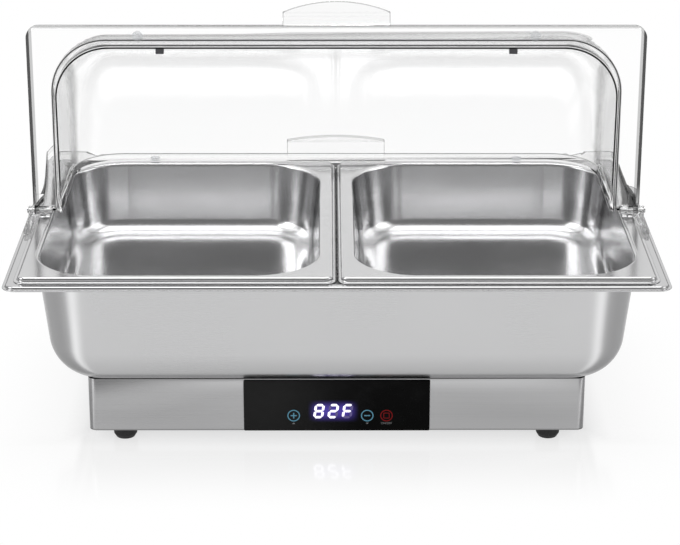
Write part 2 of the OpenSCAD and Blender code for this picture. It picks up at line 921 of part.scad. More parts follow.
module rear_lid() {
    color("white", 0.35) at_axis() {
        lid_half(rear_x, rear_r, 90 + rear_past_deg, eye_x, rear_eye_w, press_gap);
    }
}

module rear_lid_bumpers() {
    color("white", 0.5) at_axis() lid_half_bumpers();
}

module lid_stop_pads() {
    color("dimgray") at_axis() for (s = [-1, 1]) {
        translate([s*stop_x - stop_w/2, 0, 0]) rotate([90, 0, 90]) linear_extrude(height = stop_w) {
            rotate(90 + rear_past_deg) intersection() {
                difference() {
                    circle(r = rear_r);
                    circle(r = rear_r - stop_t);
                }
                translate([0, -stop_len]) square([2*rear_r, stop_len]);
            }
        }
    }
}

module front_lid() {
    color("white", 0.35) front_turn() {
        lid_half(front_x, front_r, 90 - front_stop_deg, front_eye_x, front_eye_w, running_gap);
    }
}

module front_lid_bumpers() {
    color("white", 0.5) front_turn() lid_half_bumpers();
}

// Hinge

module hinge_bracket(side) {
    foot_top = pan_top;
    foot_in = pans_x - pan_lip + lip_bend + seat_gap;
    foot_out = pin_end_x;
    lip_top = rim_z + pan_t + seat_gap;
    rim_flat = rim_x - rim_lip - flange_bend;
    length = bracket_front + bracket_rear;
    color("whitesmoke", 0.5) mirror([side < 0 ? 1 : 0, 0, 0]) difference() {
        union() {
            translate([foot_in, -bracket_front, lip_top]) {
                cube([foot_out - foot_in, length, foot_top - lip_top]);
            }
            translate([pans_x + seat_gap, -bracket_front, rim_z + seat_gap]) {
                cube([rim_flat - pans_x - seat_gap, length, foot_top - rim_z - seat_gap - overlap]);
            }
            translate([ear_x, 0, axis_z]) rotate([90, 0, 90]) cylinder(r = eye_r, h = ear_w);
            translate([ear_x, -eye_r, lip_top]) cube([ear_w, 2*eye_r, axis_z - lip_top]);
        }
        translate([ear_x - overlap, 0, axis_z]) rotate([90, 0, 90]) {
            cylinder(r = pin_r + press_gap, h = ear_w + 2*overlap);
        }
    }
}

module hinge_pin(side) {
    color("silver") mirror([side < 0 ? 1 : 0, 0, 0]) {
        translate([eye_x - pin_tail, 0, axis_z]) rotate([90, 0, 90]) {
            cylinder(r = pin_r, h = pin_end_x - eye_x + pin_tail);
        }
        translate([pin_end_x, 0, axis_z]) rotate([90, 0, 90]) cylinder(r = pin_head_r, h = pin_head_t);
    }
}

at_dish() base_shell();
at_dish() bottom_plate();
at_dish() bottom_screws();
at_dish() foot(-1, -1);  // foot_front_left
at_dish() foot(1, -1);  // foot_front_right
at_dish() foot(-1, 1);  // foot_rear_left
at_dish() foot(1, 1);  // foot_rear_right
at_dish() foot_screws();
at_dish() control_panel();
at_dish() led_display();
at_dish() touch_pads();
at_dish() control_board();
at_dish() board_posts();
at_dish() board_screws();
at_dish() power_board();
at_dish() power_board_posts();
at_dish() relay();
at_dish() transformer();
at_dish() heating_plate();
at_dish() heater_terminals();
at_dish() clamp_bars();
at_dish() clamp_spacers();
at_dish() clamp_nuts();
at_dish() pan_studs();
at_dish() thermal_cutout();
at_dish() temperature_probe();
at_dish() power_inlet();
at_dish() inlet_pins();
at_dish() inlet_screws();
at_dish() pan_gasket();
at_dish() water_pan();
at_dish() food_pan(-1);  // food_pan_left
at_dish() food_pan(1);  // food_pan_right
at_dish() hinge_bracket(-1);  // hinge_bracket_left
at_dish() hinge_bracket(1);  // hinge_bracket_right
at_dish() hinge_pin(-1);  // hinge_pin_left
at_dish() hinge_pin(1);  // hinge_pin_right
at_dish() rear_lid();
at_dish() rear_lid_bumpers();
at_dish() lid_stop_pads();
at_dish() front_lid();
at_dish() front_lid_bumpers();
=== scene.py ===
"""Looks of an electric chafing dish: two food pans in a heated water pan, under a clear roll-top lid."""
import bpy
import bmesh
import json
import math
from mathutils import Matrix, Vector


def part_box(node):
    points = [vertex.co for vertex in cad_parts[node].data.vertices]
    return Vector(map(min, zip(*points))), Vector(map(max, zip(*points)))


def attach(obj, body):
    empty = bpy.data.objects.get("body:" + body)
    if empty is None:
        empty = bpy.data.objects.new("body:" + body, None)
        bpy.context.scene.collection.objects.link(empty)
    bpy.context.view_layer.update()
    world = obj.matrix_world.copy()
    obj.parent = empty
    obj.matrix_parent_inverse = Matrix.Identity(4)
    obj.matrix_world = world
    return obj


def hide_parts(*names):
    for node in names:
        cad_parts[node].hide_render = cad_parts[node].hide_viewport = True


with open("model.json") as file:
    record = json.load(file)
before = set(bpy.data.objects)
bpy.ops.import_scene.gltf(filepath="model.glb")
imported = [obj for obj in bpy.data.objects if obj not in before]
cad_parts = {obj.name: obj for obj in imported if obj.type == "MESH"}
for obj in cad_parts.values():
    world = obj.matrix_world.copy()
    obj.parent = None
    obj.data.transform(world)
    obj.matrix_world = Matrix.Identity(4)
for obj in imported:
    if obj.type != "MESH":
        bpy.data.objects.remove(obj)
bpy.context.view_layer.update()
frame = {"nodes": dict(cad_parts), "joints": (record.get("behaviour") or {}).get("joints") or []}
nodes = frame["nodes"]
scene = bpy.context.scene
MM = 0.001
hinge = Vector(next(j["pos_m"] for j in frame["joints"] if j["name"] == "front_half_hinge"))


# ---------------------------------------------------------------- node helpers

def put(tree, kind, inputs=None, **settings):
    """Adds one node, sets its options, and sets or links its inputs."""
    made = tree.nodes.new(kind)
    for key, value in settings.items():
        setattr(made, key, value)
    for key, value in (inputs or {}).items():
        if isinstance(value, bpy.types.NodeSocket):
            tree.links.new(value, made.inputs[key])
        else:
            made.inputs[key].default_value = value
    return made


def maths(tree, operation, a, b=0.0):
    return put(tree, "ShaderNodeMath", {0: a, 1: b}, operation=operation).outputs[0]


def times(tree, first, *factors):
    for factor in factors:
        first = maths(tree, "MULTIPLY", first, factor)
    return first


def largest(tree, first, *others):
    for other in others:
        first = maths(tree, "MAXIMUM", first, other)
    return first


def size_of(tree, value):
    return maths(tree, "ABSOLUTE", value)


def excess(tree, value, level):
    """How far a value is above a level, or 0."""
    return largest(tree, maths(tree, "SUBTRACT", value, level), 0.0)


def split(tree, vector):
    return put(tree, "ShaderNodeSeparateXYZ", {0: vector}).outputs


def length_of(tree, u, v):
    across = put(tree, "ShaderNodeCombineXYZ", {0: u, 1: v}).outputs[0]
    return put(tree, "ShaderNodeVectorMath", {0: across}, operation="LENGTH").outputs["Value"]


def coordinates(tree, kind="Object"):
    return put(tree, "ShaderNodeTexCoord").outputs[kind]


def spread(tree, value, low, high, to_low, to_high, smooth=False):
    """Maps a value from one range to another, held at the ends."""
    kind = "SMOOTHSTEP" if smooth else "LINEAR"
    return put(tree, "ShaderNodeMapRange", {
        "Value": value, "From Min": low, "From Max": high, "To Min": to_low, "To Max": to_high,
    }, interpolation_type=kind).outputs["Result"]


def mixed(tree, share, a, b):
    """Mixes two values."""
    return put(tree, "ShaderNodeMix", {"Factor": share, 2: a, 3: b}).outputs[0]


def blended(tree, share, a, b):
    """Mixes two colours."""
    mix = put(tree, "ShaderNodeMix", {"Factor": share}, data_type="RGBA")
    for socket, value in ((mix.inputs[6], a), (mix.inputs[7], b)):
        if isinstance(value, bpy.types.NodeSocket):
            tree.links.new(value, socket)
        else:
            socket.default_value = value
    return mix.outputs[2]


def either(tree, share, a, b):
    """Mixes two shaders."""
    return put(tree, "ShaderNodeMixShader", {0: share, 1: a, 2: b}).outputs[0]


def emitted(tree, level):
    return put(tree, "ShaderNodeEmission", {"Color": grey(1.0), "Strength": level}).outputs[0]


def noise(tree, vector, scale, detail=2.0, rough=0.5):
    return put(tree, "ShaderNodeTexNoise", {
        "Vector": vector, "Scale": scale, "Detail": detail, "Roughness": rough,
    }).outputs["Fac"]


def grey(level):
    return (level, level, level, 1.0)


def tinted(shade, factor):
    """A colour made lighter or darker, as red, green, blue and alpha."""
    return tuple(min(1.0, c * factor) for c in shade) + (1.0,)


# ---------------------------------------------------------------- shared effects

def shader_group(name, inputs, outputs):
    group = bpy.data.node_groups.new(name, "ShaderNodeTree")
    for label, value in inputs:
        socket = group.interface.new_socket(label, in_out="INPUT", socket_type="NodeSocketFloat")
        socket.default_value = value
    for label in outputs:
        group.interface.new_socket(label, in_out="OUTPUT", socket_type="NodeSocketFloat")
    return group, group.nodes.new("NodeGroupInput").outputs, group.nodes.new("NodeGroupOutput").inputs


def make_brushed_streaks():
    """Fine grain that runs along the dish on its long faces and across it on its ends, with a soft cloud."""
    g, given, result = shader_group(
        "brushed_streaks", [("Across", 3500.0), ("Along", 12.0)], ["Streak", "Cloud"])
    place = coordinates(g)
    facing = split(g, coordinates(g, "Normal"))
    end_on = maths(g, "SUBTRACT", size_of(g, facing["X"]), size_of(g, facing["Y"]))
    end_share = spread(g, end_on, -0.1, 0.1, 0.0, 1.0)
    grains = []
    for order in (("Along", "Across", "Across"), ("Across", "Along", "Across")):
        size = put(g, "ShaderNodeCombineXYZ", dict(enumerate(given[axis] for axis in order))).outputs[0]
        stretched = put(g, "ShaderNodeVectorMath", {0: place, 1: size}, operation="MULTIPLY").outputs[0]
        grains.append(noise(g, stretched, 1.0, detail=3.0, rough=0.65))
    g.links.new(mixed(g, end_share, *grains), result["Streak"])
    g.links.new(noise(g, place, 11.0, rough=0.45), result["Cloud"])
    return g


def make_moulded_skin():
    """Spark-textured skin of moulded plastic and rubber, with a soft cloud."""
    g, given, result = shader_group("moulded_skin", [("Fineness", 1800.0)], ["Skin", "Cloud"])
    place = coordinates(g)
    cells = put(g, "ShaderNodeTexVoronoi", {"Vector": place, "Scale": given["Fineness"]}).outputs["Distance"]
    fine = noise(g, place, given["Fineness"], rough=0.6)
    g.links.new(maths(g, "ADD", times(g, cells, 0.6), fine), result["Skin"])
    g.links.new(noise(g, place, 24.0), result["Cloud"])
    return g


def make_wiped_haze():
    """Faint wipe marks left on glossy surfaces by a cloth, as a mask."""
    g, given, result = shader_group("wiped_haze", [("Size", 26.0)], ["Haze"])
    turned = put(g, "ShaderNodeMapping", {
        "Vector": coordinates(g), "Rotation": (0.3, 0.5, 0.4), "Scale": (1.0, 2.6, 1.4)}).outputs[0]
    wide = noise(g, turned, given["Size"], detail=3.0, rough=0.55)
    thin = noise(g, turned, times(g, given["Size"], 9.0))
    g.links.new(times(g, spread(g, wide, 0.45, 0.75, 0.0, 1.0), thin), result["Haze"])
    return g


BRUSHED = make_brushed_streaks()
MOULDED = make_moulded_skin()
HAZE = make_wiped_haze()


def use_group(tree, group, **values):
    made = put(tree, "ShaderNodeGroup")
    made.node_tree = group
    for key, value in values.items():
        made.inputs[key].default_value = value
    return made.outputs


# ---------------------------------------------------------------- finishes

def blank(name):
    finish = bpy.data.materials.new(name)
    finish.use_nodes = True
    tree = finish.node_tree
    return finish, tree, tree.nodes["Principled BSDF"]


def relief(tree, skin, height, strength, depth):
    bump = put(tree, "ShaderNodeBump", {"Height": height, "Strength": strength, "Distance": depth})
    tree.links.new(bump.outputs[0], skin.inputs["Normal"])


GRAIN_RELIEF, GRAIN_DEPTH, POLISHED_SHARE = 0.03, 0.06 * MM, 0.5
# painted shade in the gap between the two food pans
GAP_SHADE = grey(0.02)


def brushed_metal(name, shade, rough, across=3500.0, along=12.0, vary=0.05, grain=0.08, bands=(),
                  polished=None, seam=None):
    """Steel, zinc or brass with directional grain. Each band paints light (factor above 1) or shade (below 1)
    over a range of heights: it gives the height where it is full, the height where it has faded out, and its
    factor. Above the polished height the metal is smoother. A seam gives the half width of painted shade in
    the gap on the dish's middle line, its fade, and the lowest height and Y it has. Lengths are in
    millimetres."""
    finish, tree, skin = blank(name)
    grain_of = use_group(tree, BRUSHED, Across=across, Along=along)
    at = split(tree, coordinates(tree))
    level = at["Z"]
    tone = blended(tree, spread(tree, grain_of["Streak"], 0.3, 0.7, 0.0, 1.0),
                   tinted(shade, 1.0 - vary), tinted(shade, 1.0 + vary))
    # painted light and shade: each band lightens or darkens the metal over a range of heights
    for full, gone, factor in bands:
        share = spread(tree, level, full * MM, gone * MM, 1.0, 0.0, smooth=True)
        tone = blended(tree, share, tone, tinted(shade, factor))
    # painted shade along the gap between the food pans
    if seam:
        half, fade, low, front = (value * MM for value in seam)
        gap = spread(tree, size_of(tree, at["X"]), half, half + fade, 1.0, 0.0, smooth=True)
        gap = times(tree, gap, maths(tree, "GREATER_THAN", level, low),
                    spread(tree, at["Y"], front, front + 1.0 * MM, 0.0, 1.0))
        tone = blended(tree, gap, tone, GAP_SHADE)
    tree.links.new(tone, skin.inputs["Base Color"])
    worn = spread(tree, grain_of["Streak"], 0.25, 0.75, rough - grain / 2, rough + grain / 2)
    worn = maths(tree, "ADD", worn, spread(tree, grain_of["Cloud"], 0.35, 0.65, -0.02, 0.03))
    if polished:
        gloss = spread(tree, level, (polished - 2) * MM, (polished + 1) * MM, 1.0, POLISHED_SHARE)
        worn = times(tree, worn, gloss)
    tree.links.new(worn, skin.inputs["Roughness"])
    skin.inputs["Metallic"].default_value = 1.0
    relief(tree, skin, grain_of["Streak"], GRAIN_RELIEF, GRAIN_DEPTH)
    return finish


MOULD_VARY, MOULD_RELIEF, MOULD_DEPTH = 0.12, 0.25, 0.08 * MM


def moulded(name, shade, rough):
    """Plastic or rubber with a moulded skin."""
    finish, tree, skin = blank(name)
    skin_of = use_group(tree, MOULDED)
    tone = blended(tree, spread(tree, skin_of["Cloud"], 0.3, 0.7, 0.0, 1.0),
                   tinted(shade, 1.0 - MOULD_VARY), tinted(shade, 1.0 + MOULD_VARY))
    tree.links.new(tone, skin.inputs["Base Color"])
    worn = spread(tree, skin_of["Skin"], 0.3, 1.1, rough - 0.06, rough + 0.06)
    tree.links.new(worn, skin.inputs["Roughness"])
    relief(tree, skin, skin_of["Skin"], MOULD_RELIEF, MOULD_DEPTH)
    return finish


PANEL_SHINE = 0.05


def touch_glass(name):
    """Glossy black panel with faint wipe marks, and a painted sheen that makes it greyer towards its left
    end.
    """
    finish, tree, skin = blank(name)
    haze = use_group(tree, HAZE, Size=34.0)["Haze"]
    along = split(tree, coordinates(tree))["X"]
    # painted sheen: the black turns greyer towards the left end
    left = spread(tree, along, -60.0 * MM, 30.0 * MM, 1.0, 0.0, smooth=True)
    black = blended(tree, left, grey(0.0012), grey(0.022))
    tone = blended(tree, times(tree, haze, 0.35), black, (0.03, 0.03, 0.032, 1.0))
    tree.links.new(tone, skin.inputs["Base Color"])
    tree.links.new(spread(tree, haze, 0.0, 0.6, 0.08, 0.18), skin.inputs["Roughness"])
    skin.inputs["Specular IOR Level"].default_value = PANEL_SHINE
    return finish, tree, skin


# sizes that both halves of the lid share
LID_X, LID_REACH, EDGE_W, SHOULDER = 266.25 * MM, 166.5 * MM, 2.5 * MM, 47.0 * MM
HANDLE_X, BOW_REACH, BOW_R = 46.25 * MM, 184.58 * MM, 123.34 * MM
FLANGE_FACE = -2.0 * MM
# the painted grey lines that stand in for the dark lines of the clear plastic: half the width of the foot's
# and where it turns light; the depth of the cut end's face, the rise over which its painted line starts, and
# where that turns light
FOOT_LINE, FOOT_TURNS = 1.05 * MM, (0.35 * MM, 0.8 * MM)
CUT_FACE, CUT_STARTS = (0.6 * MM, 0.8 * MM), (10.0 * MM, 26.0 * MM)
CUT_TURNS = (SHOULDER + 0.1 * MM, SHOULDER + 0.6 * MM)
# sizes of each half's dome, and the painted shade of its cut end's line and of its far edge
FRONT_HALF = {"upright": True, "dome_x": 245.5 * MM, "dome_r": 154.0 * MM, "cut_deg": 1.5,
              "cut_shade": 0.5, "far_shade": 0.5}
REAR_HALF = {"upright": False, "dome_x": 242.5 * MM, "dome_r": 149.0 * MM, "cut_deg": -3.0,
             "cut_shade": 0.02, "far_shade": 0.8}

# tones of the clear plastic, with painted shade along its edges, its lines and its end walls
CLEAR, THROUGH_CLEAR, THROUGH_WALL_SHADE, THROUGH_HINGE = grey(0.995), grey(0.995), grey(0.955), grey(0.98)
INNER_EDGE_SHADE, OUTER_EDGE_SHADE, HANDLE_RIM_SHADE, FOOT_LINE_SHADE, LIGHT_TONE = grey(0.60), grey(0.09), grey(0.30), 0.06, 0.85
HANDLE_CLEAR, HANDLE_RIM_LOSS, WALL_CLEAR = 0.94, 0.6, 0.95
CLEAR_IOR, CLEAR_MIRROR, CLEAR_DEPTH, CLEAR_DENSITY = 1.5, grey(0.15), (0.55, 0.57, 0.58, 1.0), 3.0


def step(tree, value, edge, width=0.1 * MM):
    """A mask that rises from 0 to 1 over a short width, up to an edge."""
    return spread(tree, value, edge - width, edge, 0.0, 1.0)


def lid_axes(tree, half):
    """Distances from the hinge: to the side, along the flange, and away from it towards the dome."""
    away = put(tree, "ShaderNodeVectorMath", {0: coordinates(tree), 1: hinge}, operation="SUBTRACT")
    at = split(tree, away.outputs[0])
    reach, rise = (at["Z"], at["Y"]) if half["upright"] else (at["Y"], at["Z"])
    return size_of(tree, at["X"]), reach, rise


def clear_of_hinge(tree, reach):
    """A mask that is fainter beside the hinge's eyes."""
    return spread(tree, reach, 6.0 * MM, 24.0 * MM, 0.3, 1.0)


def lid_painted_lines(tree, half, side, reach, rise):
    """The painted grey lines along a dome's foot and along its cut end, where the clear plastic looks dark,
    as a mask and a shade.
    """
    over_x = excess(tree, side, half["dome_x"] - SHOULDER)
    from_foot = length_of(tree, over_x, excess(tree, reach, half["dome_r"] - SHOULDER))
    from_foot = size_of(tree, maths(tree, "SUBTRACT", from_foot, SHOULDER))
    foot = times(tree, maths(tree, "LESS_THAN", from_foot, FOOT_LINE),
                 maths(tree, "LESS_THAN", rise, FLANGE_FACE), clear_of_hinge(tree, reach))
    foot_shade = spread(tree, from_foot, *FOOT_TURNS, FOOT_LINE_SHADE, LIGHT_TONE)
    cut = math.radians(half["cut_deg"])
    past = maths(tree, "SUBTRACT", times(tree, reach, math.cos(cut)), times(tree, rise, math.sin(cut)))
    end = times(tree, spread(tree, past, *CUT_FACE, 1.0, 0.0), spread(tree, rise, *CUT_STARTS, 0.0, 1.0))
    depth = length_of(tree, over_x, excess(tree, rise, half["dome_r"] - SHOULDER))
    end_shade = spread(tree, depth, *CUT_TURNS, half["cut_shade"], LIGHT_TONE)
    return largest(tree, foot, end), mixed(tree, end, foot_shade, end_shade)


def lid_painted_edges(tree, half, side, reach, rise):
    """A lid half's colour with painted shade along its stiffened edges, its far edge and its handle's rim,
    and masks of its handle and its end walls.
    """
    inner = step(tree, side, LID_X - 2 * EDGE_W)
    outer = times(tree, step(tree, side, LID_X - EDGE_W), clear_of_hinge(tree, reach))
    far = step(tree, reach, LID_REACH - 1.6 * MM)
    handle = spread(tree, reach, LID_REACH + 0.2 * MM, LID_REACH + 0.8 * MM, 0.0, HANDLE_CLEAR)
    bow = length_of(tree, side, maths(tree, "SUBTRACT", reach, BOW_REACH - BOW_R))
    rim = largest(tree, step(tree, bow, BOW_R - 0.5 * MM, 0.2 * MM),
                  step(tree, side, HANDLE_X - 0.5 * MM, 0.2 * MM))
    rim = times(tree, rim, spread(tree, handle, 0.5, 0.9, 0.0, 1.0))
    handle = times(tree, handle, maths(tree, "SUBTRACT", 1.0, times(tree, rim, HANDLE_RIM_LOSS)))
    sideways = size_of(tree, split(tree, coordinates(tree, "Normal"))["X"])
    wall = times(tree, spread(tree, sideways, 0.80, 0.95, 0.0, 1.0),
                 spread(tree, rise, 4.0 * MM, 8.0 * MM, 0.0, 1.0),
                 maths(tree, "LESS_THAN", side, half["dome_x"] + 2.0 * MM))
    # painted shade along the edges, where the clear plastic looks dark
    tone = blended(tree, inner, CLEAR, INNER_EDGE_SHADE)
    tone = blended(tree, far, tone, grey(half["far_shade"]))
    tone = blended(tree, outer, tone, OUTER_EDGE_SHADE)
    return blended(tree, rim, tone, HANDLE_RIM_SHADE), handle, wall


def clear_plastic(name, half=None, veil=0.5):
    """Clear plastic that refracts and lets lamp light through. A lid half has painted grey lines and painted
    shade along its edges, and its handle and its dome's end walls bend little of what is behind them; the end
    walls carry a painted grey shade. Other pieces let a plain share through unbent."""
    finish, tree, skin = blank(name)
    skin.inputs["Base Color"].default_value = CLEAR
    skin.inputs["Transmission Weight"].default_value = 1.0
    skin.inputs["IOR"].default_value = CLEAR_IOR
    skin.inputs["Specular Tint"].default_value = CLEAR_MIRROR
    haze = use_group(tree, HAZE, Size=18.0)["Haze"]
    tree.links.new(spread(tree, haze, 0.1, 0.7, 0.0, 0.05), skin.inputs["Roughness"])
    relief(tree, skin, noise(tree, coordinates(tree), 30.0, detail=1.0, rough=0.4), 0.05, 0.4 * MM)
    unbent = put(tree, "ShaderNodeBsdfTransparent", {"Color": THROUGH_HINGE})
    surface = skin.outputs[0]
    if half:
        axes = lid_axes(tree, half)
        tone, handle, wall = lid_painted_edges(tree, half, *axes)
        tree.links.new(tone, skin.inputs["Base Color"])
        # painted shade: what is seen through the end walls is a little greyer
        tree.links.new(blended(tree, wall, THROUGH_CLEAR, THROUGH_WALL_SHADE), unbent.inputs["Color"])
        facing = put(tree, "ShaderNodeLayerWeight", {"Blend": 0.5}).outputs["Facing"]
        veil = largest(tree, handle, times(tree, wall, spread(tree, facing, 0.55, 0.8, 0.0, WALL_CLEAR)))
        line, painted_line_shade = lid_painted_lines(tree, half, *axes)
        # an opaque grey face paints the dark lines of the clear plastic
        painted_line_shader = put(tree, "ShaderNodeBsdfDiffuse", {"Color": painted_line_shade}).outputs[0]
        surface = either(tree, line, surface, painted_line_shader)
    rays = put(tree, "ShaderNodeLightPath").outputs
    surface = either(tree, largest(tree, rays["Is Shadow Ray"], rays["Is Diffuse Ray"], veil),
                     surface, unbent.outputs[0])
    out = tree.nodes["Material Output"]
    tree.links.new(surface, out.inputs["Surface"])
    inside = put(tree, "ShaderNodeVolumeAbsorption", {"Color": CLEAR_DEPTH, "Density": CLEAR_DENSITY})
    tree.links.new(inside.outputs[0], out.inputs["Volume"])
    return finish


def soft_clear(name, shade, clear):
    """Soft clear plastic, part see-through, with a pale skin."""
    finish, tree, skin = blank(name)
    haze = use_group(tree, HAZE, Size=90.0)["Haze"]
    skin.inputs["Base Color"].default_value = shade
    tree.links.new(spread(tree, haze, 0.1, 0.7, 0.22, 0.32), skin.inputs["Roughness"])
    unbent = put(tree, "ShaderNodeBsdfTransparent", {"Color": (0.93, 0.935, 0.94, 1.0)}).outputs[0]
    surface = either(tree, clear, skin.outputs[0], unbent)
    tree.links.new(surface, tree.nodes["Material Output"].inputs["Surface"])
    return finish


def circuit_board(name):
    """Green solder mask with copper tracks showing through."""
    finish, tree, skin = blank(name)
    tracks = put(tree, "ShaderNodeTexBrick", {
        "Vector": coordinates(tree), "Scale": 140.0,
        "Mortar Size": 0.08, "Brick Width": 1.4, "Row Height": 0.5,
        "Color1": (0.02, 0.12, 0.05, 1.0), "Color2": (0.03, 0.15, 0.06, 1.0),
        "Mortar": (0.06, 0.24, 0.10, 1.0)})
    tree.links.new(tracks.outputs["Color"], skin.inputs["Base Color"])
    skin.inputs["Roughness"].default_value = 0.35
    relief(tree, skin, tracks.outputs["Fac"], 0.4, 0.05 * MM)
    return finish


def lit_mark(name, shade, strength):
    """A printed mark lit from behind, a little uneven across its face."""
    finish, tree, skin = blank(name)
    patch = noise(tree, coordinates(tree), 900.0, detail=1.0)
    light = blended(tree, patch, tinted(shade, 0.8), tinted(shade, 1.0))
    tree.links.new(light, skin.inputs["Base Color"])
    tree.links.new(light, skin.inputs["Emission Color"])
    skin.inputs["Emission Strength"].default_value = strength
    skin.inputs["Roughness"].default_value = 0.3
    skin.inputs["Specular IOR Level"].default_value = PANEL_SHINE
    return finish


# the display's middle on the panel, and half the size of the light round it, in millimetres
DISPLAY_X, DISPLAY_Z = -3.0, 28.5
GLOW_X, GLOW_Z = 22.5, 11.0
VIOLET, GLOW_STRENGTH = (0.085, 0.055, 0.40, 1.0), 0.85


def panel_glow(name):
    """Violet light that spreads through the panel round the lit figures, fading out at its edges."""
    finish, tree, skin = touch_glass(name)
    place = coordinates(tree)
    at = split(tree, place)
    fades = []
    for axis, centre, flat, gone in (("X", DISPLAY_X, 10.0, GLOW_X), ("Z", DISPLAY_Z, 1.0, GLOW_Z)):
        away = size_of(tree, maths(tree, "SUBTRACT", at[axis], centre * MM))
        fades.append(spread(tree, away, flat * MM, gone * MM, 1.0, 0.0, smooth=True))
    patch = noise(tree, place, 160.0)
    share = times(tree, *fades, spread(tree, patch, 0.3, 0.7, 0.85, 1.0))
    tree.links.new(blended(tree, share, grey(0.0), VIOLET), skin.inputs["Emission Color"])
    skin.inputs["Emission Strength"].default_value = GLOW_STRENGTH
    return finish


# painted light and shade on the steel: the base lighter near its top fold and its foot, darker along its
# bottom edge and black along its top edge under the pan; the water pan's wall darker at its foot and black
# in the joint over the base
SHELL_PAINTED_LIGHT = ((58.0, 44.0, 1.25), (10.0, 26.0, 1.08), (10.6, 11.6, 0.65), (58.0, 57.75, 0.03))
WATER_PAN_PAINTED_SHADE = ((61.5, 68.0, 0.70), (62.5, 65.0, 0.05))
RIM_POLISH_Z = 157.0
# painted shade in the gap between the two food pans, on the rim under it and on the lips beside it
RIM_GAP_SHADE, LIP_GAP_SHADE = (5.0, 4.0, 162.2, -169.5), (0.7, 1.8, 150.0, -170.0)

METALS = {
    "satin_steel": dict(shade=(0.47, 0.47, 0.475), rough=0.30, bands=SHELL_PAINTED_LIGHT),
    "pan_steel": dict(shade=(0.56, 0.56, 0.565), rough=0.24, vary=0.018, grain=0.04, bands=WATER_PAN_PAINTED_SHADE,
                      polished=RIM_POLISH_Z, seam=RIM_GAP_SHADE),
    "food_pan_steel": dict(shade=(0.62, 0.62, 0.625), rough=0.18, vary=0.03, grain=0.06, seam=LIP_GAP_SHADE),
    "zinc_plate": dict(shade=(0.52, 0.53, 0.55), rough=0.42, across=500.0, along=120.0, vary=0.10),
    "fastener_steel": dict(shade=(0.60, 0.60, 0.60), rough=0.26, across=3000.0, along=600.0),
    "post_brass": dict(shade=(0.72, 0.55, 0.25), rough=0.30, across=3000.0, along=600.0),
    "heater_alloy": dict(shade=(0.62, 0.62, 0.63), rough=0.45, across=700.0, along=300.0, vary=0.10),
    "terminal_brass": dict(shade=(0.74, 0.58, 0.30), rough=0.28, across=3000.0, along=400.0),
}
PLASTICS = {
    "rubber_black": ((0.020, 0.020, 0.020), 0.62),
    "display": ((0.035, 0.035, 0.045), 0.30),
    "pad_plastic": ((0.09, 0.09, 0.10), 0.45),
    "post_white": ((0.80, 0.80, 0.78), 0.50),
    "relay_blue": ((0.04, 0.12, 0.42), 0.30),
    "winding_amber": ((0.60, 0.42, 0.10), 0.45),
    "cutout_tan": ((0.50, 0.39, 0.25), 0.55),
    "inlet_black": ((0.022, 0.022, 0.023), 0.48),
    "clip_grey": ((0.05, 0.05, 0.055), 0.45),
}
MARKS = {
    "mark_blue": ((0.085, 0.22, 0.30), 0.60),
    "mark_red": ((0.13, 0.006, 0.007), 0.60),
    "mark_grey": ((0.17, 0.17, 0.175), 0.45),
    "segment_lit": ((0.90, 0.88, 1.00), 1.3),
    "segment_unlit": ((0.12, 0.10, 0.24), 0.5),
}
FINISH = {
    "panel_black": touch_glass("panel_black")[0],
    "display_glow": panel_glow("display_glow"),
    "board_green": circuit_board("board_green"),
    "lid_clear": clear_plastic("lid_clear"),
    "front_lid_clear": clear_plastic("front_lid_clear", FRONT_HALF),
    "rear_lid_clear": clear_plastic("rear_lid_clear", REAR_HALF),
    "bumper_clear": soft_clear("bumper_clear", (0.78, 0.79, 0.80, 1.0), 0.72),
}
FINISH.update((name, brushed_metal(name, **values)) for name, values in METALS.items())
FINISH.update((name, moulded(name, *values)) for name, values in PLASTICS.items())
FINISH.update((name, lit_mark(name, *values)) for name, values in MARKS.items())
for part in nodes.values():
    for slot in part.material_slots:
        slot.material = FINISH[slot.material.name.split(".")[0]]


# ---------------------------------------------------------------- piece helpers

WELD = 2e-6
FLAT_ANGLE, EASE_ANGLE = math.radians(0.4), math.radians(28.0)


def link_piece(name, mesh, finish, body, replaced=()):
    """Puts a finished mesh in the scene as a piece of the dish."""
    piece = bpy.data.objects.new(name, mesh)
    scene.collection.objects.link(piece)
    mesh.materials.clear()
    mesh.materials.append(FINISH[finish])
    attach(piece, body)
    if replaced:
        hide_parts(*replaced)
    return piece


def applied(piece):
    """Turns a piece and its modifiers into a plain mesh."""
    graph = bpy.context.evaluated_depsgraph_get()
    mesh = bpy.data.meshes.new_from_object(piece.evaluated_get(graph))
    piece.modifiers.clear()
    piece.data = mesh
    return piece


def eased_copy(node, finish, body, ease, steps=2):
    """A copy of a solid with its sharp edges rounded, which stands for it."""
    mesh = nodes[node].data.copy()
    shape = bmesh.new()
    shape.from_mesh(mesh)
    bmesh.ops.remove_doubles(shape, verts=shape.verts, dist=WELD)
    bmesh.ops.dissolve_limit(shape, angle_limit=FLAT_ANGLE, verts=shape.verts, edges=shape.edges)
    shape.to_mesh(mesh)
    shape.free()
    mesh.shade_smooth()
    piece = link_piece(node + "_eased", mesh, finish, body, (node,))
    ease_mod = piece.modifiers.new("ease", "BEVEL")
    ease_mod.width = ease
    ease_mod.segments = steps
    ease_mod.limit_method = "ANGLE"
    ease_mod.angle_limit = EASE_ANGLE
    ease_mod.use_clamp_overlap = True
    ease_mod.harden_normals = True
    return applied(piece)


